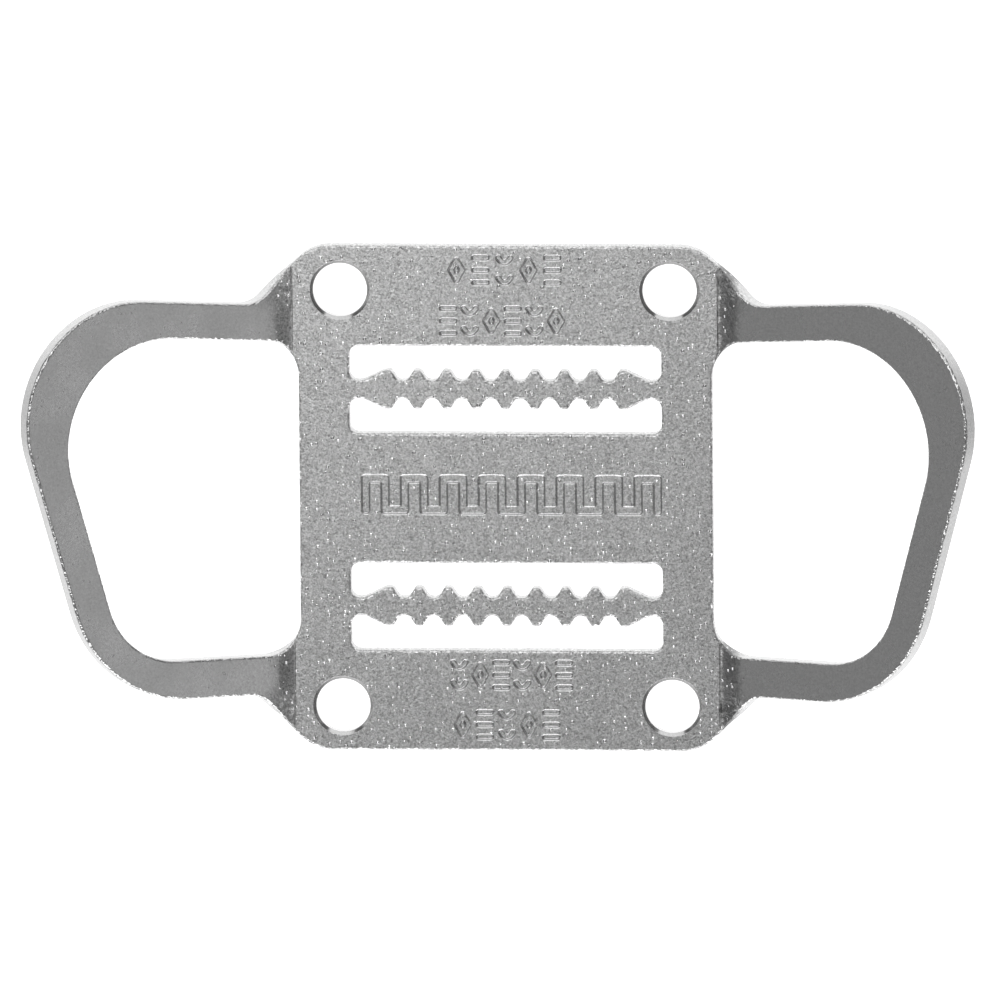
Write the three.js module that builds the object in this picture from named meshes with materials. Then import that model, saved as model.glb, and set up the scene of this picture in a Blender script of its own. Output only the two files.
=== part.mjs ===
// Sidemount harness rail plate: one stamped and press-bent sheet of stainless steel.
// A flat centre plate carries two pairs of toothed webbing slots and four corner holes. A closed
// D-shaped rail stands out of each side of it and is bent up along one straight line.
// Millimetres. +X runs across the plate from rail to rail, +Y runs up the plate, +Z is the side
// that the rails rise towards. The origin is at the middle of the plate, on its back face.
import * as THREE from "three";
import { mergeVertices } from "three/addons/utils/BufferGeometryUtils.js";

// ---- driving dimensions ----

const sheetThickness = 3;

const plateWidth = 69.1; // between the two rail windows
const plateHeight = 85.6;
const shoulderInset = 2.35; // from the plate's side in to where its sloping shoulder meets the top edge
const shoulderReach = 7.85; // from the plate's side out to where the shoulder meets the rail's leg
const shoulderDrop = 9.65; // from the plate's top edge down to that same meeting point
const shoulderRadius = 8;
const shoulderFillet = 5;

const bendOffset = 1.05; // from the plate's side out to the start of the bend
const bendAngle = THREE.MathUtils.degToRad(30);
const bendInsideRadius = 6;

const railReach = 45.6; // bend line to the rail's outer edge at mid height, measured along the sheet
const railWidth = 6.15;
const lowerLegWidth = 6.6;
const upperLegRise = THREE.MathUtils.degToRad(6.3); // the legs climb away from the plate
const lowerLegRise = THREE.MathUtils.degToRad(2.4);
const railLean = THREE.MathUtils.degToRad(16.5); // the grip leans out towards its upper corner
const railUpperRadius = 19.7;
const railLowerRadius = 22.5;
const windowUpperRadius = 17.5;
const windowLowerRadius = 13.5;
const windowRootRadius = 6;

const cornerHoleDiameter = 9;
const cornerHoleSideInset = 7.05;
const cornerHoleEndInset = 7.55;

const slotLength = 52; // for 50 mm webbing
const slotPairInset = 17; // from the plate's end to the near edge of its pair of slots
const slotPairHeight = 14.8; // over both slots and the toothed bar between them
const slotCornerRadius = 1.5;
const barWidth = 3; // between the roots of the teeth
const toothHeight = 1.75;
const toothPitch = 4.9;
const toothTipWidth = 1.2;
const toothRootWidth = 1.5;
const toothTipRadius = 0.5;
const toothRootRadius = 1.2;
const lobeLength = 6.4; // free slot left past the middle of the last tooth
const lobeRampLength = 3.6;
const lobeRampRadius = 2.5;

const chordError = 0.04; // how far a straight step may leave its arc
const bendSteps = 4;

// ---- outlines, as lists of corners with a radius each ----

const corner = (x, y, radius) => ({ x, y, radius });

// A straight edge through (x, y) that runs at an angle from +X.
const edge = (x, y, angle) => ({ x, y, dx: Math.cos(angle), dy: Math.sin(angle) });

// The same edge moved to its left by a distance.
const offsetEdge = (e, by) => ({ ...e, x: e.x - e.dy * by, y: e.y + e.dx * by });

function meet(a, b, radius) {
  const along = ((b.x - a.x) * b.dy - (b.y - a.y) * b.dx) / (a.dx * b.dy - a.dy * b.dx);
  return corner(a.x + a.dx * along, a.y + a.dy * along, radius);
}

// The points of an arc about a centre, in steps that stay within the chord error.
function arcPoints(centre, radius, from, turn) {
  const widestStep = 2 * Math.acos(1 - Math.min(chordError / radius, 0.5));
  const steps = Math.max(1, Math.ceil(Math.abs(turn) / widestStep));
  const at = (i) => from + (turn * i) / steps;
  const point = (i) =>
    new THREE.Vector2(centre.x + radius * Math.cos(at(i)), centre.y + radius * Math.sin(at(i)));
  return Array.from({ length: steps + 1 }, (_, i) => point(i));
}

// A closed outline whose corners are rounded by arcs tangent to both of their edges.
function roundedOutline(corners) {
  return corners.flatMap((here, i) => {
    const at = new THREE.Vector2(here.x, here.y);
    const before = corners[(i + corners.length - 1) % corners.length];
    const after = corners[(i + 1) % corners.length];
    const back = new THREE.Vector2(before.x, before.y).sub(at).normalize();
    const ahead = new THREE.Vector2(after.x, after.y).sub(at).normalize();
    const side = Math.sign(ahead.cross(back));
    const halfAngle = Math.acos(THREE.MathUtils.clamp(back.dot(ahead), -1, 1)) / 2;
    const toCentre = back.clone().add(ahead).setLength(here.radius / Math.sin(halfAngle));
    const start = back.clone().multiplyScalar(here.radius / Math.tan(halfAngle)).sub(toCentre);
    return arcPoints(at.add(toCentre), here.radius, start.angle(), side * (Math.PI - 2 * halfAngle));
  });
}

const mirrored = (corners) => corners.map((c) => corner(-c.x, c.y, c.radius)).reverse();

// ---- the flat blank, before bending ----

const halfWidth = plateWidth / 2;
const halfHeight = plateHeight / 2;
const bendLine = halfWidth + bendOffset;

// The right-hand rail's outer edges, each running anticlockwise round the blank.
const legRootX = halfWidth + shoulderReach;
const legRootY = halfHeight - shoulderDrop;
const lowerLegEdge = edge(legRootX, -legRootY, lowerLegRise);
const gripEdge = edge(bendLine + railReach, 0, Math.PI / 2 - railLean);
const upperLegEdge = edge(legRootX, legRootY, Math.PI + upperLegRise);

function blankOutline() {
  const shoulderX = halfWidth - shoulderInset;
  const right = [
    corner(shoulderX, -halfHeight, shoulderRadius),
    corner(legRootX, -legRootY, shoulderFillet),
    meet(lowerLegEdge, gripEdge, railLowerRadius),
    meet(gripEdge, upperLegEdge, railUpperRadius),
    corner(legRootX, legRootY, shoulderFillet),
    corner(shoulderX, halfHeight, shoulderRadius),
  ];
  return roundedOutline([...right, ...mirrored(right)]);
}

function windowCorners() {
  const lower = offsetEdge(lowerLegEdge, lowerLegWidth);
  const grip = offsetEdge(gripEdge, railWidth);
  const upper = offsetEdge(upperLegEdge, railWidth);
  const root = edge(halfWidth, 0, Math.PI / 2);
  return [
    meet(root, lower, windowRootRadius),
    meet(lower, grip, windowLowerRadius),
    meet(grip, upper, windowUpperRadius),
    meet(upper, root, windowRootRadius),
  ];
}

function cornerHoles() {
  const x = halfWidth - cornerHoleSideInset;
  const y = halfHeight - cornerHoleEndInset;
  const centres = [[x, y], [-x, y], [-x, -y], [x, -y]];
  return centres.map(([cx, cy]) =>
    arcPoints({ x: cx, y: cy }, cornerHoleDiameter / 2, 0, 2 * Math.PI).slice(0, -1));
}

// One slot beside a bar that lies along X at barY. away is 1 for the slot above the bar and -1 for
// the one below. The teeth stand on the bar and leave a round lobe at each end of the slot.
function toothedSlot(barY, away) {
  const rootLevel = barWidth / 2;
  const tipLevel = rootLevel + toothHeight;
  const farLevel = slotPairHeight / 2;
  const end = slotLength / 2;
  const flank = (toothPitch - toothTipWidth - toothRootWidth) / 2;
  const teeth = Math.floor((slotLength - 2 * lobeLength) / toothPitch + 1e-6) + 1;
  const lastTooth = ((teeth - 1) / 2) * toothPitch;
  const rampTop = lastTooth + toothTipWidth / 2;
  const rampFoot = rampTop + lobeRampLength;
  const corners = [
    corner(-end, farLevel, slotCornerRadius),
    corner(-end, rootLevel, slotCornerRadius),
    corner(-rampFoot, rootLevel, lobeRampRadius),
  ];
  for (let i = 0; i < teeth; i++) {
    const middle = i * toothPitch - lastTooth;
    const tip = toothTipWidth / 2;
    if (i > 0) corners.push(corner(middle - tip - flank, rootLevel, toothRootRadius));
    corners.push(corner(middle - tip, tipLevel, toothTipRadius));
    corners.push(corner(middle + tip, tipLevel, toothTipRadius));
    if (i < teeth - 1) corners.push(corner(middle + tip + flank, rootLevel, toothRootRadius));
  }
  corners.push(corner(rampFoot, rootLevel, lobeRampRadius));
  corners.push(corner(end, rootLevel, slotCornerRadius));
  corners.push(corner(end, farLevel, slotCornerRadius));
  return roundedOutline(corners.map((c) => corner(c.x, barY + away * c.y, c.radius)));
}

function flatBlank() {
  const blank = new THREE.Shape(blankOutline());
  const barY = halfHeight - slotPairInset - slotPairHeight / 2;
  const openings = [
    roundedOutline(windowCorners()),
    roundedOutline(mirrored(windowCorners())),
    ...cornerHoles(),
    ...[barY, -barY].flatMap((y) => [toothedSlot(y, 1), toothedSlot(y, -1)]),
  ];
  blank.holes = openings.map((points) => new THREE.Path(points));
  const sheet = new THREE.ExtrudeGeometry(blank, { depth: sheetThickness, bevelEnabled: false });
  sheet.deleteAttribute("normal");
  sheet.deleteAttribute("uv");
  return mergeVertices(sheet);
}

// ---- the bend ----

// Splits every triangle that crosses the plane x = cut. Two triangles that share an edge share the
// new point on it, so a closed surface stays closed.
function splitAt(vertices, triangles, cut) {
  const onPlane = 1e-4;
  const sideOf = (v) => (Math.abs(vertices[v].x - cut) < onPlane ? 0 : Math.sign(vertices[v].x - cut));
  const made = new Map();
  const crossing = (a, b) => {
    const key = a < b ? `${a} ${b}` : `${b} ${a}`;
    if (!made.has(key)) {
      const [low, high] = a < b ? [vertices[a], vertices[b]] : [vertices[b], vertices[a]];
      made.set(key, vertices.length);
      vertices.push(low.clone().lerp(high, (cut - low.x) / (high.x - low.x)));
    }
    return made.get(key);
  };
  return triangles.flatMap((triangle) => {
    const ring = triangle.flatMap((a, i) => {
      const b = triangle[(i + 1) % 3];
      return sideOf(a) * sideOf(b) < 0 ? [a, crossing(a, b)] : [a];
    });
    if (ring.length === 3) return [triangle];
    return [-1, 1].flatMap((side) => {
      const kept = ring.filter((v) => sideOf(v) !== -side);
      return kept.slice(2).map((v, i) => [kept[0], kept[i + 1], v]);
    });
  });
}

// Carries a point of the flat sheet to its place after bending: along an arc through the bend
// zone, then straight out along the risen rail. The middle of the sheet keeps its length.
function bend(point) {
  const past = Math.abs(point.x) - bendLine;
  if (past <= 0) return point;
  const middleRadius = bendInsideRadius + sheetThickness / 2;
  const angle = Math.min(past / middleRadius, bendAngle);
  const straight = past - middleRadius * angle;
  const radius = bendInsideRadius + sheetThickness - point.z;
  const x = bendLine + radius * Math.sin(angle) + straight * Math.cos(angle);
  const z = bendInsideRadius + sheetThickness - radius * Math.cos(angle) + straight * Math.sin(angle);
  return new THREE.Vector3(Math.sign(point.x) * x, point.y, z);
}

function bentPlate() {
  const flat = flatBlank();
  const position = flat.getAttribute("position");
  const vertices = Array.from({ length: position.count }, (_, i) =>
    new THREE.Vector3().fromBufferAttribute(position, i));
  const index = [...flat.index.array];
  let triangles = Array.from({ length: index.length / 3 }, (_, i) => index.slice(3 * i, 3 * i + 3));
  const bendLength = (bendInsideRadius + sheetThickness / 2) * bendAngle;
  for (let i = 0; i <= bendSteps; i++) {
    const cut = bendLine + (bendLength * i) / bendSteps;
    triangles = splitAt(vertices, triangles, cut);
    triangles = splitAt(vertices, triangles, -cut);
  }
  const solid = new THREE.BufferGeometry().setFromPoints(vertices.map(bend));
  solid.setIndex(triangles.flat());
  solid.computeVertexNormals();
  return solid;
}

// ---- the model ----

const steel = new THREE.MeshStandardMaterial({ color: 0xa3a4a6, roughness: 0.42, metalness: 1 });

const railPlate = new THREE.Mesh(bentPlate(), steel);
railPlate.name = "rail_plate";

const model = new THREE.Group();
model.add(railPlate);

export default model;
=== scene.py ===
"""Sidemount harness rail plate: a stamped, press-bent and tumbled sheet of stainless steel.

The whole object is one piece of sheet, so there is one visible piece. Its shape is worked out on the
flat blank, in millimetres, and then bent: every outline carries the profile of a tumbled edge, the
faces between the outlines are filled, and a bend formula lifts the rails on both sides.
"""
import math

import bpy
import numpy as np
from mathutils import Matrix, Vector
from mathutils.geometry import delaunay_2d_cdt


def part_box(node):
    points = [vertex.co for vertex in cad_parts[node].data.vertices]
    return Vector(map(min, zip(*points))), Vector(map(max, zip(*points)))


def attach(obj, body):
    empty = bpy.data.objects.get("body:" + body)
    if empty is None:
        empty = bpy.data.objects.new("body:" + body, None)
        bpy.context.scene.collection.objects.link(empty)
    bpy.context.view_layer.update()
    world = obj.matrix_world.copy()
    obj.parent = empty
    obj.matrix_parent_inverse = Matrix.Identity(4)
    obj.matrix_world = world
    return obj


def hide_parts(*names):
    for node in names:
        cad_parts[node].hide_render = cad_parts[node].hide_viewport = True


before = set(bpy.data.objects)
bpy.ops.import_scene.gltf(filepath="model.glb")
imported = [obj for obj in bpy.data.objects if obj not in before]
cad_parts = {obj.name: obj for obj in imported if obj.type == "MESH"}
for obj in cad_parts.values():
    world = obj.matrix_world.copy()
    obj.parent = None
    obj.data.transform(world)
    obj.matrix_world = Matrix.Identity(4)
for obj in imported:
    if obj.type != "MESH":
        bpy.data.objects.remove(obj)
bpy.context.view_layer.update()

NODE = "rail_plate"

# ---- sizes of the plate, in millimetres ----

MM = 0.001
LOW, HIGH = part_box(NODE)
HALF_HEIGHT = HIGH.y / MM

THICKNESS = 3.0
HALF_WIDTH = 34.55
SHOULDER_INSET, SHOULDER_REACH, SHOULDER_DROP = 2.35, 7.85, 9.65
SHOULDER_RADIUS, SHOULDER_FILLET = 8.0, 5.0

BEND_LINE = HALF_WIDTH + 1.05
BEND_ANGLE = math.radians(30)
BEND_INSIDE_RADIUS = 6.0

RAIL_REACH, RAIL_WIDTH, LOWER_LEG_WIDTH = 45.6, 6.15, 6.6
UPPER_LEG_RISE, LOWER_LEG_RISE, RAIL_LEAN = np.radians([6.3, 2.4, 16.5])
RAIL_UPPER_RADIUS, RAIL_LOWER_RADIUS = 19.7, 22.5
WINDOW_UPPER_RADIUS, WINDOW_LOWER_RADIUS, WINDOW_ROOT_RADIUS = 17.5, 13.5, 6.0

HOLE_RADIUS, HOLE_SIDE_INSET, HOLE_END_INSET = 4.5, 7.05, 7.55

SLOT_LENGTH, SLOT_PAIR_INSET, SLOT_PAIR_HEIGHT, SLOT_CORNER_RADIUS = 52.0, 17.0, 14.8, 1.5
BAR_WIDTH, TOOTH_HEIGHT, TOOTH_PITCH, TEETH = 3.0, 1.75, 4.9, 9
TOOTH_TIP, TOOTH_ROOT, TOOTH_TIP_RADIUS, TOOTH_ROOT_RADIUS = 1.2, 1.5, 0.5, 1.2
LOBE_RAMP, LOBE_RAMP_RADIUS = 3.6, 2.5
BAR_Y = HALF_HEIGHT - SLOT_PAIR_INSET - SLOT_PAIR_HEIGHT / 2

# ---- sizes that only the finished surface has, in millimetres ----

EDGE_RADIUS = 0.42  # left by tumbling on every cut edge
HOLE_CHAMFER = 0.55  # the corner holes are deburred at 45 degrees
EDGE_STEPS = 4
STAMP_DEPTH, STAMP_EDGE_RADIUS, STAMP_STROKE = 0.44, 0.22, 0.8
STAMP_HEIGHT, STAMP_WIDTH = 5.0, 2.8
STAMP_ROWS = (  # middle x, middle y, marks, pitch
    (0.0, 38.7, 5, 4.0),
    (-0.45, 30.1, 6, 3.6),
    (0.7, -29.95, 6, 3.5),
    (-0.15, -38.4, 5, 3.7),
)
MEANDER_UPRIGHTS, MEANDER_PITCH, MEANDER_HEIGHT, MEANDER_STROKE = 16, 3.25, 6.6, 1.25
MEANDER_MIDDLE = (0.9, 0.65)
MEANDER_OUTER_RADIUS, MEANDER_INNER_RADIUS = 0.6, 0.3
PRESS_MARK_DEPTH, PRESS_MARK_RUN, PRESS_MARK_WALL = 0.2, 2.2, 0.25

ARC_STEP = math.radians(5)
LONGEST_ARC_STEP, LONGEST_STRAIGHT_STEP = 0.6, 1.1


# ---- outlines: closed rows of points with a unit normal each that points out of the metal ----

def unit(v):
    return v / np.linalg.norm(v, axis=-1, keepdims=True)


def rounded_outline(corners):
    """The closed outline through corners (x, y, radius), each rounded by the arc that is tangent to
    both of its edges: its centre lies on the corner's bisector, radius / sin(half angle) away. The
    metal is on the left of the outline as it runs, so the normal is the direction turned right."""
    corners = np.asarray(corners, float)
    at, radius = corners[:, :2], corners[:, 2]
    back, ahead = unit(np.roll(at, 1, 0) - at), unit(np.roll(at, -1, 0) - at)
    half = np.arccos(np.clip((back * ahead).sum(1), -1, 1)) / 2
    centre = at + unit(back + ahead) * (radius / np.sin(half))[:, None]
    first = at + back * (radius / np.tan(half))[:, None] - centre
    side = np.sign(ahead[:, 0] * back[:, 1] - ahead[:, 1] * back[:, 0])
    turn = side * (math.pi - 2 * half)
    start = np.arctan2(first[:, 1], first[:, 0])
    points, normals = [], []
    for i in range(len(corners)):
        steps = max(
            2, math.ceil(abs(turn[i]) / ARC_STEP), math.ceil(abs(turn[i]) * radius[i] / LONGEST_ARC_STEP))
        angle = start[i] + turn[i] * np.linspace(0, 1, steps + 1)
        spoke = np.c_[np.cos(angle), np.sin(angle)]
        points.append(centre[i] + radius[i] * spoke)
        normals.append(side[i] * spoke)
        after = (i + 1) % len(corners)
        end, begin = points[-1][-1], centre[after] + first[after]
        pieces = math.ceil(np.linalg.norm(begin - end) / LONGEST_STRAIGHT_STEP)
        share = np.linspace(0, 1, pieces + 1)[1:-1, None]
        points.append(end + (begin - end) * share)
        normals.append(np.repeat(normals[-1][-1:], len(share), 0))
    return {"points": np.vstack(points), "normals": np.vstack(normals)}


def circle_hole(x, y, radius):
    """A circle that runs clockwise, so that the metal lies on its left, outside it."""
    angle = np.linspace(0, -2 * math.pi, math.ceil(2 * math.pi / ARC_STEP), endpoint=False)
    spoke = np.c_[np.cos(angle), np.sin(angle)]
    return {"points": (x, y) + radius * spoke, "normals": -spoke}


def stroke_groove(path, width):
    """The outline of a groove of one width about a path, run clockwise: the path moved half a width
    to its left, a half circle round its end, the path moved to its right and back, and another."""
    along = unit(np.gradient(path, axis=0))
    left = np.c_[-along[:, 1], along[:, 0]]
    swing = np.linspace(math.pi / 2, -math.pi / 2, 9)[1:-1, None]

    def cap(i, direction):
        ahead = direction * along[i]
        aside = direction * left[i]
        return ahead * np.cos(swing) + aside * np.sin(swing)

    spokes = np.vstack([left, cap(-1, 1), -left[::-1], cap(0, -1)])
    turn = len(swing)
    middles = np.vstack([path, np.repeat(path[-1:], turn, 0), path[::-1], np.repeat(path[:1], turn, 0)])
    return {"points": middles + spokes * width / 2, "normals": -spokes}


def mirrored(corners):
    return [(-x, y, r) for x, y, r in reversed(corners)]


def edge_line(x, y, angle):
    return np.array([x, y]), np.array([math.cos(angle), math.sin(angle)])


def moved_left(line, by):
    at, along = line
    return at + by * np.array([-along[1], along[0]]), along


def meet(a, b, radius):
    """The corner where two lines cross: a.at + s a.along = b.at + u b.along, solved for s."""
    s = np.linalg.solve(np.c_[a[1], -b[1]], b[0] - a[0])[0]
    return (*(a[0] + s * a[1]), radius)


# ---- the flat blank ----

LEG_ROOT = np.array([HALF_WIDTH + SHOULDER_REACH, HALF_HEIGHT - SHOULDER_DROP])
LOWER_LEG = edge_line(LEG_ROOT[0], -LEG_ROOT[1], LOWER_LEG_RISE)
GRIP = edge_line(BEND_LINE + RAIL_REACH, 0, math.pi / 2 - RAIL_LEAN)
UPPER_LEG = edge_line(LEG_ROOT[0], LEG_ROOT[1], math.pi + UPPER_LEG_RISE)


def blank_outline():
    shoulder_x = HALF_WIDTH - SHOULDER_INSET
    right = [
        (shoulder_x, -HALF_HEIGHT, SHOULDER_RADIUS),
        (LEG_ROOT[0], -LEG_ROOT[1], SHOULDER_FILLET),
        meet(LOWER_LEG, GRIP, RAIL_LOWER_RADIUS),
        meet(GRIP, UPPER_LEG, RAIL_UPPER_RADIUS),
        (LEG_ROOT[0], LEG_ROOT[1], SHOULDER_FILLET),
        (shoulder_x, HALF_HEIGHT, SHOULDER_RADIUS),
    ]
    return rounded_outline(right + mirrored(right))


def rail_windows():
    lower = moved_left(LOWER_LEG, LOWER_LEG_WIDTH)
    grip = moved_left(GRIP, RAIL_WIDTH)
    upper = moved_left(UPPER_LEG, RAIL_WIDTH)
    root = edge_line(HALF_WIDTH, 0, math.pi / 2)
    right = [
        meet(root, lower, WINDOW_ROOT_RADIUS),
        meet(lower, grip, WINDOW_LOWER_RADIUS),
        meet(grip, upper, WINDOW_UPPER_RADIUS),
        meet(upper, root, WINDOW_ROOT_RADIUS),
    ]
    return [rounded_outline(right[::-1]), rounded_outline(mirrored(right)[::-1])]


def corner_holes():
    x, y = HALF_WIDTH - HOLE_SIDE_INSET, HALF_HEIGHT - HOLE_END_INSET
    places = [(x, y), (-x, y), (-x, -y), (x, -y)]
    return [circle_hole(px, py, HOLE_RADIUS) for px, py in places]


def toothed_slot(bar_y, away):
    """One slot beside the bar at bar_y, above it for away = 1 and below it for away = -1. The teeth
    stand on the bar, and a round lobe is left at each end of the slot."""
    root, tip, far = BAR_WIDTH / 2, BAR_WIDTH / 2 + TOOTH_HEIGHT, SLOT_PAIR_HEIGHT / 2
    end, half_tip = SLOT_LENGTH / 2, TOOTH_TIP / 2
    flank = (TOOTH_PITCH - TOOTH_TIP - TOOTH_ROOT) / 2
    last = (TEETH - 1) / 2 * TOOTH_PITCH
    ramp_foot = last + half_tip + LOBE_RAMP
    corners = [
        (-end, far, SLOT_CORNER_RADIUS),
        (-end, root, SLOT_CORNER_RADIUS),
        (-ramp_foot, root, LOBE_RAMP_RADIUS),
    ]
    for i in range(TEETH):
        middle = i * TOOTH_PITCH - last
        if i > 0:
            corners.append((middle - half_tip - flank, root, TOOTH_ROOT_RADIUS))
        corners.append((middle - half_tip, tip, TOOTH_TIP_RADIUS))
        corners.append((middle + half_tip, tip, TOOTH_TIP_RADIUS))
        if i < TEETH - 1:
            corners.append((middle + half_tip + flank, root, TOOTH_ROOT_RADIUS))
    corners += [
        (ramp_foot, root, LOBE_RAMP_RADIUS),
        (end, root, SLOT_CORNER_RADIUS),
        (end, far, SLOT_CORNER_RADIUS),
    ]
    placed = [(x, bar_y + away * y, r) for x, y, r in corners]
    return rounded_outline(placed[::-1] if away > 0 else placed)


def cut_outlines():
    """Every sheared outline: the blank's own, the two rail windows and the four toothed slots."""
    slots = [toothed_slot(y, away) for y in (BAR_Y, -BAR_Y) for away in (1, -1)]
    return [blank_outline(), *rail_windows(), *slots]


# ---- stamped marks: plain shapes that say nothing ----

def lozenge(x, y, half_width, half_height, radius, clockwise):
    corners = [(x + half_width, y, radius), (x, y + half_height, radius),
               (x - half_width, y, radius), (x, y - half_height, radius)]
    return rounded_outline(corners[::-1] if clockwise else corners)


def stamped_lozenge(x, y):
    """A ring between two lozenges: the outer one runs clockwise, the island inside it does not."""
    outer = lozenge(x, y, STAMP_WIDTH / 2, STAMP_HEIGHT / 2, 0.35, True)
    slope = math.hypot(STAMP_WIDTH, STAMP_HEIGHT)
    island_width = STAMP_WIDTH / 2 - STAMP_STROKE * slope / STAMP_HEIGHT
    island_height = STAMP_HEIGHT / 2 - STAMP_STROKE * slope / STAMP_WIDTH
    return [outer, lozenge(x, y, island_width, island_height, 0.25, False)]


def stamped_bars(x, y):
    reach = (STAMP_WIDTH - STAMP_STROKE) / 2
    levels = np.array([-1, 0, 1]) * (STAMP_HEIGHT - STAMP_STROKE) / 2
    ends = np.linspace(-reach, reach, 4)
    return [stroke_groove(np.c_[x + ends, np.full(4, y + level)], STAMP_STROKE) for level in levels]


def stamped_cups(x, y):
    """Two shallow cups, one above the other: rise = 0.8 * across^2."""
    across = np.linspace(-1, 1, 9) * (STAMP_WIDTH - STAMP_STROKE) / 2
    rise = 0.8 * across ** 2
    levels = np.array([-1, 1]) * (STAMP_HEIGHT - STAMP_STROKE - rise.max()) / 2 - rise.max() / 2
    return [stroke_groove(np.c_[x + across, y + level + rise], STAMP_STROKE) for level in levels]


def stamped_meander():
    """A square-cornered ribbon that runs up, across, down and across again, from left to right. The
    near side is the one on the left of its run: it lies left of the uprights that go up and right of
    those that go down, passes over the top turns on the outside and over the bottom turns on the
    inside, and wraps the two bottom ends. The far side is the other one."""
    middle_x, middle_y = MEANDER_MIDDLE
    half, reach = MEANDER_STROKE / 2, (MEANDER_HEIGHT - MEANDER_STROKE) / 2
    near, far = [], []
    for i in range(MEANDER_UPRIGHTS):
        x = middle_x + (i - (MEANDER_UPRIGHTS - 1) / 2) * MEANDER_PITCH
        side = -half if i % 2 == 0 else half
        at_end = i in (0, MEANDER_UPRIGHTS - 1)
        bottom = (x + side, middle_y - reach + (-half if at_end else half),
                  MEANDER_OUTER_RADIUS if at_end else MEANDER_INNER_RADIUS)
        near_pair = [bottom, (x + side, middle_y + reach + half, MEANDER_OUTER_RADIUS)]
        far_pair = [(x - side, middle_y - reach - half, MEANDER_OUTER_RADIUS),
                    (x - side, middle_y + reach - half, MEANDER_INNER_RADIUS)]
        near += near_pair if i % 2 == 0 else near_pair[::-1]
        far += far_pair if i % 2 == 0 else far_pair[::-1]
    return [rounded_outline(near + far[::-1])]


def stamped_marks():
    """The wide mark, and four rows in which the three plain shapes take turns."""
    shapes = (stamped_lozenge, stamped_bars, stamped_cups)
    marks = [stamped_meander()]
    for row, (middle, y, count, pitch) in enumerate(STAMP_ROWS):
        for i in range(count):
            marks.append(shapes[(i + row) % len(shapes)](middle + (i - (count - 1) / 2) * pitch, y))
    return [outline for mark in marks for outline in mark]


# ---- surfaces ----

def front_and_back(front):
    """The front half of a section, followed by the same turned over for the back face."""
    back = front[::-1] * (1, 1, 1, -1)
    back[:, 1] = THICKNESS - back[:, 1]
    return np.vstack([front, back])


def tumbled_edge():
    """The section of a cut edge, from the front face round to the back: columns are the distance in
    from the outline, the height, and the normal's outward and upward shares. Each corner of the
    section is a quarter circle: in = r (1 - sin a), height = t - r (1 - cos a)."""
    a = np.linspace(0, math.pi / 2, EDGE_STEPS + 1)
    radius = EDGE_RADIUS
    return front_and_back(
        np.c_[radius * (1 - np.sin(a)), THICKNESS - radius * (1 - np.cos(a)), np.sin(a), np.cos(a)])


def chamfered_edge():
    """The section of a deburred hole: a 45 degree cone whose two edges are each softened over a
    tenth of its width, where the normal turns from the face's to the cone's to the wall's."""
    along = np.array([0, 0.1, 0.5, 0.9, 1.0, 1.1])
    inward = HOLE_CHAMFER * np.clip(1 - along, 0, 1)
    height = THICKNESS - HOLE_CHAMFER * along
    turn = np.radians([0, 45, 45, 45, 90, 90])
    return front_and_back(np.c_[inward, height, np.sin(turn), np.cos(turn)])


def stamped_edge():
    """The section of a stamped groove's side: a quarter circle down from the face, a wall, and a
    quarter circle that runs out onto the groove's floor."""
    a = np.linspace(0, math.pi / 2, EDGE_STEPS)
    radius, bottom = STAMP_EDGE_RADIUS, THICKNESS - STAMP_DEPTH
    rim = np.c_[radius * (1 - np.sin(a)), THICKNESS - radius * (1 - np.cos(a)), np.sin(a), np.cos(a)]
    floor = np.c_[-radius * (1 - np.cos(a)), bottom + radius * (1 - np.sin(a)), np.cos(a), np.sin(a)]
    return np.vstack([rim, floor])


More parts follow.
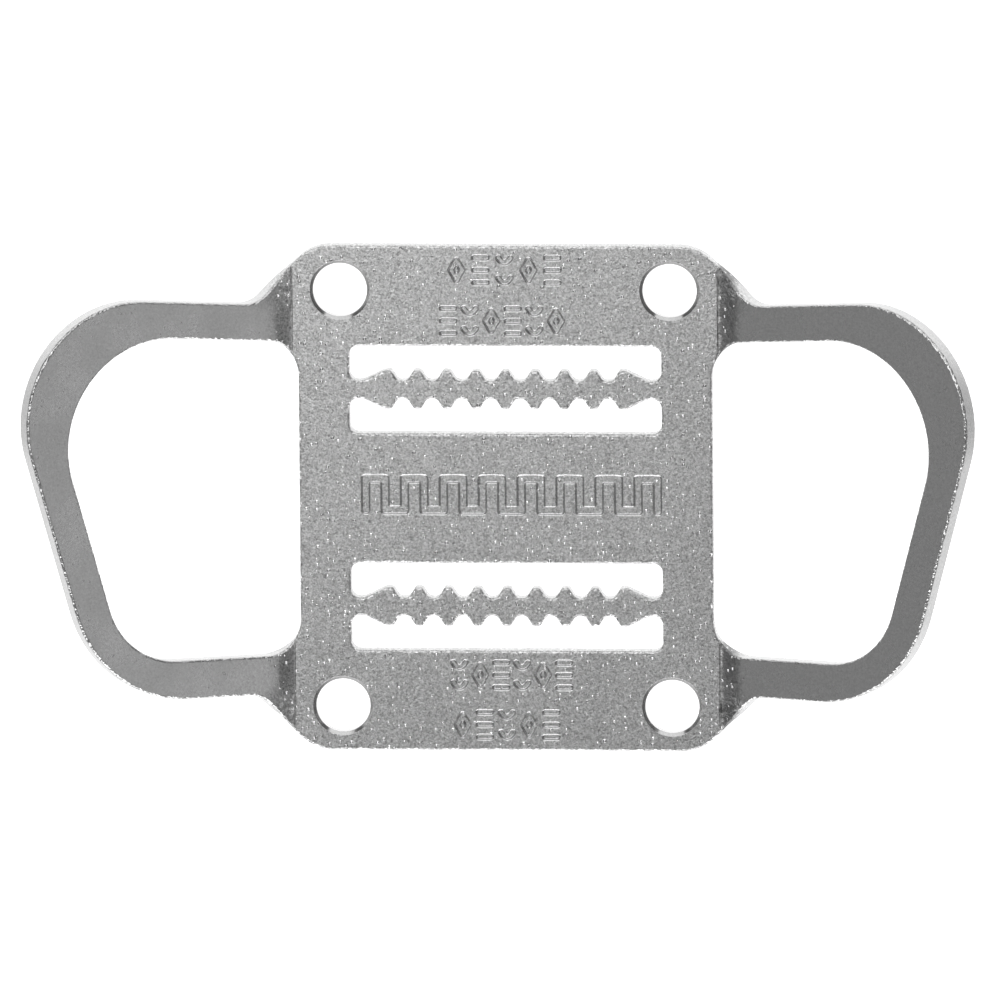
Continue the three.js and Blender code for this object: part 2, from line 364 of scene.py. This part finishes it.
class Sheet:
    """Collects the flat sheet's points (x, y, height), their normals and the faces between them."""

    def __init__(self):
        self.points, self.normals, self.bare, self.rim, self.faces, self.count = [], [], [], [], [], 0

    def add_points(self, points, normals):
        first = self.count
        self.points.append(points)
        self.normals.append(normals)
        self.bare.append(np.zeros(len(points)))
        self.rim.append(np.zeros(len(points)))
        self.count += len(points)
        return first

    def carry(self, outline, section, bare=0.0, rim=0.0):
        """Carries a section along an outline. Row j is the outline moved in by section[j, 0] along its
        normal. Bare is 1 where a cutter left the metal smooth and 0 where it was tumbled. Rim is
        how beaded with burrs the corners of the section are: it is full in the middle of a rounded
        corner and fades out to the faces and the wall. Returns the point numbers of the first and of
        the last row."""
        inward, height, outward, upward = section.T[:, :, None]
        n = outline["normals"]
        xy = outline["points"][None] - n[None] * inward[:, :, None]
        rows, columns = xy.shape[:2]
        z = np.broadcast_to(height, (rows, columns))
        normal = np.dstack([n[None] * outward[:, :, None], np.broadcast_to(upward, (rows, columns))])
        first = self.add_points(np.dstack([xy, z]).reshape(-1, 3), normal.reshape(-1, 3))
        self.bare[-1][:] = np.repeat(bare * (np.abs(section[:, 3]) < 0.999), columns)
        self.rim[-1][:] = np.repeat(rim * 2 * np.abs(section[:, 2] * section[:, 3]), columns)
        number = first + np.arange(rows * columns).reshape(rows, columns)
        after = np.roll(number, -1, 1)
        self.faces.append(np.stack([number[:-1], number[1:], after[1:], after[:-1]], -1).reshape(-1, 4))
        return number[0], number[-1]

    def fill(self, rings, scattered, height, up):
        """Fills the face bounded by rings of point numbers, at one height, with the constrained
        Delaunay triangles of the rings and the scattered points that lie in it."""
        everything = np.vstack(self.points)
        ring_numbers = np.concatenate(rings)
        first = self.add_points(
            np.c_[scattered, np.full(len(scattered), height)],
            np.tile((0.0, 0.0, up), (len(scattered), 1)),
        )
        number = np.r_[ring_numbers, first + np.arange(len(scattered))]
        flat = np.vstack([everything[ring_numbers, :2], scattered])
        starts = np.r_[0, np.cumsum([len(r) for r in rings])]
        loops = [list(range(a, b)) for a, b in zip(starts[:-1], starts[1:])]
        inside_with_holes = 2
        made = delaunay_2d_cdt([Vector(p) for p in flat], [], loops, inside_with_holes, 1e-7)
        came_from = np.array([origin[0] for origin in made[3]])
        triangles = number[came_from[np.array(made[2])]]
        self.faces.append(triangles if up > 0 else triangles[:, ::-1])


def grid(x0, x1, y0, y1, step):
    xs = np.arange(x0, x1 + step / 2, step)
    ys = np.arange(y0, y1 + step / 2, step)
    return np.stack(np.meshgrid(xs, ys), -1).reshape(-1, 2)


def inside(points, outlines, clearance):
    """Whether each point lies in the metal and is clear of every outline: the even-odd rule over the
    crossings of a ray along +X, and the distance to the nearest outline point."""
    within = np.zeros(len(points), bool)
    nearest = np.full(len(points), np.inf)
    px, py = points.T[:, :, None]
    for outline in outlines:
        a = outline["points"]
        b = np.roll(a, -1, 0)
        spans = (a[:, 1] > py) != (b[:, 1] > py)
        with np.errstate(divide="ignore", invalid="ignore"):
            x = a[:, 0] + (py - a[:, 1]) * (b[:, 0] - a[:, 0]) / (b[:, 1] - a[:, 1])
        within ^= (spans & (x > px)).sum(1) % 2 == 1
        nearest = np.minimum(nearest, np.hypot(px - a[:, 0], py - a[:, 1]).min(1))
    return within & (nearest > clearance)


def bend_grid():
    """Extra points in both bend zones, close enough together that the bend is a smooth curve."""
    length = (BEND_INSIDE_RADIUS + THICKNESS / 2) * BEND_ANGLE
    wall = np.linspace(-PRESS_MARK_WALL, PRESS_MARK_WALL / 2, 6)
    columns = BEND_LINE + np.r_[-1.0, -0.6, wall, np.linspace(0.4, length, 16), length + 0.6]
    rows = np.arange(-HALF_HEIGHT, HALF_HEIGHT, 0.5)
    right = np.stack(np.meshgrid(columns, rows), -1).reshape(-1, 2)
    return np.vstack([right, right * (-1, 1)])


def bent(points, normals):
    """Bends the flat sheet. At a distance d past the bend line, the angle is d / middle radius up to
    the full bend, the point swings about the bend's axis by that angle at its own radius, and what
    is left of d runs straight out along the risen rail. Normals turn by the same angle."""
    x, y, height = points.T
    side = np.sign(x)
    past = np.maximum(np.abs(x) - BEND_LINE, 0)
    middle = BEND_INSIDE_RADIUS + THICKNESS / 2
    angle = np.minimum(past / middle, BEND_ANGLE)
    straight = past - middle * angle
    radius = BEND_INSIDE_RADIUS + THICKNESS - height
    across = np.minimum(np.abs(x), BEND_LINE) + radius * np.sin(angle) + straight * np.cos(angle)
    up = BEND_INSIDE_RADIUS + THICKNESS - radius * np.cos(angle) + straight * np.sin(angle)
    nx, ny, nz = normals.T
    out = nx * side
    turned_x = side * (out * np.cos(angle) - nz * np.sin(angle))
    turned = np.c_[turned_x, ny, out * np.sin(angle) + nz * np.cos(angle)]
    turned = np.where((side == 0)[:, None], normals, turned)
    return np.c_[side * across, y, up], turned


def press_mark(points, normals):
    """The crease that the nose of the bending tool leaves in the front at each bend line. With d the
    distance past the line, the front falls by depth * smoothstep over the short wall before the line,
    and climbs back as (1 - d / run)^1.5 after it. The fall shrinks with the cube of the height, so
    the back is left alone. Normals tip by the slope of that fall."""
    x, _, height = points.T
    d = np.abs(x) - BEND_LINE
    share = np.clip(1 + d / PRESS_MARK_WALL, 0, 1)
    left = np.clip(1 - d / PRESS_MARK_RUN, 0, 1)
    before = d < 0
    fall = np.where(before, share ** 2 * (3 - 2 * share), left ** 1.5)
    slope = np.where(before, 6 * share * (1 - share) / PRESS_MARK_WALL, -1.5 * left ** 0.5 / PRESS_MARK_RUN)
    depth = PRESS_MARK_DEPTH * (height / THICKNESS) ** 3
    none = np.zeros_like(x)
    tip = slope * depth * np.sign(x) * np.maximum(normals[:, 2], 0)
    return points - np.c_[none, none, fall * depth], unit(normals + np.c_[tip, none, none])


def steel_piece(name, points, normals, marked, faces, material):
    """A mesh from points in millimetres, with the worked-out normals as its shading normals and each
    marked row of point values as an attribute."""
    mesh = bpy.data.meshes.new(name)
    mesh.from_pydata((points * MM).tolist(), [], [face for group in faces for face in group.tolist()])
    mesh.polygons.foreach_set("use_smooth", np.ones(len(mesh.polygons), bool))
    mesh.normals_split_custom_set_from_vertices(normals.tolist())
    for key, values in marked.items():
        mesh.attributes.new(key, "FLOAT", "POINT").data.foreach_set("value", values.astype(np.float32))
    mesh.materials.append(material)
    piece = bpy.data.objects.new(name, mesh)
    bpy.context.scene.collection.objects.link(piece)
    return piece


def rail_plate_surface(material):
    sheet = Sheet()
    cuts, holes, marks = cut_outlines(), corner_holes(), stamped_marks()
    through = cuts + holes
    ends = [sheet.carry(o, tumbled_edge(), rim=1.0) for o in cuts]
    ends += [sheet.carry(o, chamfered_edge(), bare=1.0) for o in holes]
    fronts, backs = zip(*ends)
    rims, floors = zip(*[sheet.carry(o, stamped_edge(), bare=0.8) for o in marks])
    zone = bend_grid()
    field = grid(-85, 85, -42, 42, 4.0)
    field = field[np.abs(np.abs(field[:, 0]) - BEND_LINE - 2) > 4]
    scattered = np.vstack([zone, field])
    front_points = scattered[inside(scattered, through + marks, 0.6)]
    back_points = scattered[inside(scattered, through, 0.6)]
    sheet.fill([*fronts, *rims], front_points, THICKNESS, 1.0)
    sheet.fill([*backs], back_points, 0.0, -1.0)
    sheet.fill([*floors], np.zeros((0, 2)), THICKNESS - STAMP_DEPTH, 1.0)
    points, normals = press_mark(np.vstack(sheet.points), np.vstack(sheet.normals))
    points, normals = bent(points, normals)
    marked = {"bare": np.concatenate(sheet.bare), "rim": np.concatenate(sheet.rim)}
    return steel_piece("rail_plate_steel", points, normals, marked, sheet.faces, material)


# ---- materials ----

def srgb(code, alpha=1.0):
    """A hex sRGB colour as the linear RGBA that a socket takes."""
    parts = np.array([int(code[i:i + 2], 16) for i in (1, 3, 5)]) / 255
    linear = np.where(parts <= 0.04045, parts / 12.92, ((parts + 0.055) / 1.055) ** 2.4)
    return (*linear, alpha)


def add_node(tree, kind, inputs=None, **settings):
    """Adds a node, sets its properties, and links or sets its inputs."""
    node = tree.nodes.new(kind)
    for key, value in settings.items():
        setattr(node, key, value)
    for key, value in (inputs or {}).items():
        if isinstance(value, bpy.types.NodeSocket):
            tree.links.new(value, node.inputs[key])
        else:
            node.inputs[key].default_value = value
    return node


def ramp(tree, value, low, high, to_low=0.0, to_high=1.0, smooth=False):
    """The value carried from low..high to to_low..to_high, and held at the ends."""
    return add_node(tree, "ShaderNodeMapRange", {
        "Value": value, "From Min": low, "From Max": high, "To Min": to_low, "To Max": to_high,
    }, interpolation_type="SMOOTHSTEP" if smooth else "LINEAR").outputs[0]


def maths(tree, operation, a, b=0.0):
    return add_node(tree, "ShaderNodeMath", {0: a, 1: b}, operation=operation).outputs[0]


def mixed(tree, share, a, b, kind="RGBA"):
    """Colour or number a where the share is 0, and b where it is 1."""
    node = add_node(tree, "ShaderNodeMix", {"Factor": share, "A": a, "B": b}, data_type=kind)
    return node.outputs["Result"]


def noise(tree, place, size, detail, roughness=0.5, distortion=0.0):
    """A noise pattern whose lumps are about the size given in millimetres."""
    return add_node(tree, "ShaderNodeTexNoise", {
        "Vector": place, "Scale": 1 / (size * MM), "Detail": detail, "Roughness": roughness,
        "Distortion": distortion}).outputs["Fac"]


def tumbled_stainless():
    """Stainless sheet, type 316, vibratory-tumbled after stamping: a satin grey with a fine wormy
    grain about 0.4 mm wide, small smoother dents that carry a painted glint (their base colour is
    mixed to white, so they show as white specks), and burrs like beads along the rims of the cut
    edges. The rails were rubbed smoother in the bending tool, so their grain and dents are much
    weaker. Each bend carries a band of painted shade, a dark grey mixed into the colour and
    stronger on the right-hand bend, and the metal is torn rough where the shoulder was pinched in it."""
    material = bpy.data.materials.new("tumbled stainless steel")
    material.use_nodes = True
    tree = material.node_tree
    shader = tree.nodes["Principled BSDF"]
    place = add_node(tree, "ShaderNodeTexCoord").outputs["Object"]

    axes = add_node(tree, "ShaderNodeSeparateXYZ", {0: place})
    across = maths(tree, "ABSOLUTE", axes.outputs["X"])
    along = maths(tree, "ABSOLUTE", axes.outputs["Y"])
    past_line = ramp(tree, across, (BEND_LINE - 0.1) * MM, (BEND_LINE + 0.2) * MM, smooth=True)
    on_rail = ramp(tree, across, (BEND_LINE + 1.5) * MM, (BEND_LINE + 4.5) * MM, smooth=True)
    near_shoulder = maths(tree, "MULTIPLY", ramp(tree, along, 30 * MM, 35 * MM, smooth=True),
                          ramp(tree, across, 42 * MM, 37.5 * MM, smooth=True))
    torn = maths(tree, "MULTIPLY", near_shoulder, past_line)

    bare = add_node(tree, "ShaderNodeAttribute", attribute_name="bare").outputs["Fac"]
    rim = add_node(tree, "ShaderNodeAttribute", attribute_name="rim").outputs["Fac"]

    grain = noise(tree, place, 0.36, detail=2.0, roughness=0.6, distortion=0.8)
    cloud = noise(tree, place, 9, detail=3.0)
    tear = noise(tree, place, 1.3, detail=4.0, roughness=0.65, distortion=1.0)
    burrs = noise(tree, place, 0.7, detail=1.0)
    cells = add_node(tree, "ShaderNodeTexVoronoi", {"Vector": place, "Scale": 1 / (0.9 * MM)})
    chance = add_node(tree, "ShaderNodeSeparateColor", {0: cells.outputs["Color"]}).outputs[0]
    dent_reach = ramp(tree, chance, 0.2, 1.0, 0.02, 0.4)
    depth_left = maths(tree, "SUBTRACT", 1.0, maths(tree, "DIVIDE", cells.outputs["Distance"], dent_reach))
    dent = ramp(tree, depth_left, 0.0, 1.0, smooth=True)

    # Mask of the painted shade along each bend: it wanders across the crease with the tear noise and grows
    # stronger towards the right-hand bend.
    wander = maths(tree, "ADD", across, ramp(tree, tear, 0.2, 0.8, -0.8 * MM, 0.8 * MM))
    in_bend = maths(tree, "MULTIPLY",
                    ramp(tree, wander, (BEND_LINE - 0.3) * MM, (BEND_LINE + 0.5) * MM, smooth=True),
                    ramp(tree, wander, (BEND_LINE + 4.0) * MM, (BEND_LINE + 1.6) * MM, smooth=True))
    painted_bend_shade = maths(tree, "MULTIPLY", in_bend,
                    ramp(tree, axes.outputs["X"], -BEND_LINE * MM, BEND_LINE * MM, 0.15, 0.85))

    rubbed = ramp(tree, on_rail, 0.0, 1.0, 1.0, 0.25)
    share = maths(tree, "MULTIPLY", maths(tree, "MAXIMUM", rubbed, torn),
                  ramp(tree, bare, 0.0, 1.0, 1.0, 0.1))
    dented = maths(tree, "MULTIPLY", share, share)
    grain_bump = add_node(tree, "ShaderNodeBump", {
        "Height": maths(tree, "MULTIPLY", grain, share), "Strength": 1.0, "Distance": 0.042 * MM})
    burr_bump = add_node(tree, "ShaderNodeBump", {
        "Height": maths(tree, "MULTIPLY", maths(tree, "SUBTRACT", burrs, 0.5), rim),
        "Strength": 1.0, "Distance": 0.4 * MM,
        "Normal": grain_bump.outputs[0]})
    tear_bump = add_node(tree, "ShaderNodeBump", {
        "Height": maths(tree, "MULTIPLY", tear, torn), "Strength": 1.0, "Distance": 0.22 * MM,
        "Normal": burr_bump.outputs[0]})
    dent_depth = maths(tree, "MULTIPLY", maths(tree, "MULTIPLY", dent, dent_reach), dented)
    dent_bump = add_node(tree, "ShaderNodeBump", {
        "Height": dent_depth, "Strength": 1.0, "Distance": 0.8 * MM, "Normal": tear_bump.outputs[0],
    }, invert=True)
    tree.links.new(dent_bump.outputs[0], shader.inputs["Normal"])

    worn = maths(tree, "ADD", 0.5, maths(tree, "MULTIPLY", maths(tree, "SUBTRACT", grain, 0.5), share))
    satin = mixed(tree, ramp(tree, worn, 0.28, 0.72), srgb("#8c8c8c"), srgb("#f4f4f4"))
    # Painted shade: the colour is mixed towards dark grey #606060 in the band along each bend.
    colour_with_painted_bend_shade = mixed(tree, painted_bend_shade, satin, srgb("#606060"))
    # Painted glint: in the dents the base colour is mixed to pure white, so they show as white specks. The
    # same dent mask also makes them smoother below.
    painted_glint_dent = maths(tree, "MULTIPLY", ramp(tree, dent, 0.0, 0.35, smooth=True), dented)
    bright = mixed(tree, painted_glint_dent, colour_with_painted_bend_shade, srgb("#ffffff"))
    tree.links.new(bright, shader.inputs["Base Color"])
    uneven = ramp(tree, cloud, 0.3, 0.7, 0.30, 0.36)
    rough = maths(tree, "SUBTRACT", uneven, maths(tree, "MULTIPLY", on_rail, 0.05))
    polished = maths(tree, "MAXIMUM", bare, painted_glint_dent)
    tree.links.new(mixed(tree, polished, rough, 0.16, "FLOAT"), shader.inputs["Roughness"])
    shader.inputs["Metallic"].default_value = 1.0
    return material


def studio_floor():
    """Matt white acrylic over a light table. What the camera sees of it glows a little, so nothing
    under the plate is dark. What the steel mirrors is the table's own spread of light: an even patch
    under the plate that falls off past all four sides."""
    material = bpy.data.materials.new("white acrylic")
    material.use_nodes = True
    tree = material.node_tree
    shader = tree.nodes["Principled BSDF"]
    shader.inputs["Base Color"].default_value = srgb("#e6e6e6")
    shader.inputs["Roughness"].default_value = 0.9
    shader.inputs["Emission Color"].default_value = srgb("#ffffff")
    shader.inputs["Emission Strength"].default_value = 0.95
    place = add_node(tree, "ShaderNodeTexCoord").outputs["Object"]
    axes = add_node(tree, "ShaderNodeSeparateXYZ", {0: place})
    aside = ramp(tree, maths(tree, "ABSOLUTE", axes.outputs["X"]), 0.18, 0.08, smooth=True)
    endways = ramp(tree, maths(tree, "ABSOLUTE", axes.outputs["Y"]), 0.15, 0.045, smooth=True)
    glow = ramp(tree, maths(tree, "MULTIPLY", aside, endways), 0.0, 1.0, 0.2, 1.35)
    patch = add_node(tree, "ShaderNodeEmission", {"Color": srgb("#ffffff"), "Strength": glow})
    seen = add_node(tree, "ShaderNodeLightPath").outputs["Is Camera Ray"]
    both = add_node(tree, "ShaderNodeMixShader", {0: seen, 1: patch.outputs[0], 2: shader.outputs[0]})
    tree.links.new(both.outputs[0], tree.nodes["Material Output"].inputs["Surface"])
    return material


# ---- studio ----

def floor_sheet():
    half = 40.0
    mesh = bpy.data.meshes.new("floor")
    corners = [(-half, -half, 0), (half, -half, 0), (half, half, 0), (-half, half, 0)]
    mesh.from_pydata(corners, [], [(0, 1, 2, 3)])
    mesh.materials.append(studio_floor())
    floor = bpy.data.objects.new("floor", mesh)
    floor.location.z = LOW.z - 0.0002
    bpy.context.scene.collection.objects.link(floor)


def soft_box(name, place, aim, width, height, power):
    """A rectangular soft light at a place, facing a point, hidden from the camera itself."""
    light = bpy.data.lights.new(name, "AREA")
    light.shape = "RECTANGLE"
    light.size, light.size_y, light.energy = width, height, power
    lamp = bpy.data.objects.new(name, light)
    lamp.location = place
    lamp.rotation_euler = (Vector(aim) - Vector(place)).to_track_quat("-Z", "Y").to_euler()
    lamp.visible_camera = False
    bpy.context.scene.collection.objects.link(lamp)


def room(strength):
    """A plain room of one brightness. The camera itself sees a white backdrop."""
    world = bpy.data.worlds.new("room")
    world.use_nodes = True
    tree = world.node_tree
    behind = tree.nodes["Background"]
    behind.inputs["Color"].default_value = srgb("#ffffff")
    behind.inputs["Strength"].default_value = strength
    backdrop = add_node(tree, "ShaderNodeBackground", {"Color": srgb("#ffffff"), "Strength": 1.0})
    seen = add_node(tree, "ShaderNodeLightPath").outputs["Is Camera Ray"]
    both = add_node(tree, "ShaderNodeMixShader", {0: seen, 1: behind.outputs[0], 2: backdrop.outputs[0]})
    tree.links.new(both.outputs[0], tree.nodes["World Output"].inputs["Surface"])
    bpy.context.scene.world = world


def look_from_above():
    """A long lens almost straight above the plate, leaning 10.7 degrees towards its upper end and 3.75
    degrees towards its right-hand rail, and rolled so that the plate stands level."""
    lean, yaw, roll = np.radians([10.7, 3.75, 0.45])
    lens, sensor, framed = 1200.0, 36.0, 1000 / 6 * MM
    toward = Vector((math.cos(lean) * math.sin(yaw), math.sin(lean), math.cos(lean) * math.cos(yaw)))
    right = Vector((math.cos(yaw), 0, -math.sin(yaw)))
    up = toward.cross(right)
    right, up = right * math.cos(roll) - up * math.sin(roll), right * math.sin(roll) + up * math.cos(roll)
    middle = Vector((0, 0, THICKNESS * MM)) - right * 1.02 * MM - up * 0.2 * MM
    camera = bpy.data.cameras.new("camera")
    camera.lens, camera.sensor_width = lens, sensor
    holder = bpy.data.objects.new("camera", camera)
    rotation = Matrix((right, up, toward)).transposed().to_4x4()
    holder.matrix_world = Matrix.Translation(middle + toward * framed * lens / sensor) @ rotation
    bpy.context.scene.collection.objects.link(holder)
    bpy.context.scene.camera = holder


steel = tumbled_stainless()
plate = rail_plate_surface(steel)
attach(plate, "root")
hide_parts(NODE)

floor_sheet()
room(0.14)
soft_box("overhead", (-0.34, 0.23, 0.9), (-0.34, 0.23, 0), 0.7, 0.7, 2.75)
soft_box("far end", (0, 0.95, 0.7), (0, 0, 0.02), 1.6, 1.3, 7)
soft_box("near end", (0, -1.0, 0.42), (0, 0, 0.02), 1.6, 0.75, 10)
soft_box("right side", (0.9, -0.2, 0.62), (0, -0.2, 0.02), 0.8, 0.25, 0.4)
soft_box("left side", (-0.9, -0.05, 0.46), (0, -0.05, 0.02), 0.8, 0.25, 0.15)
look_from_above()
bpy.context.scene.view_settings.view_transform = "Standard"
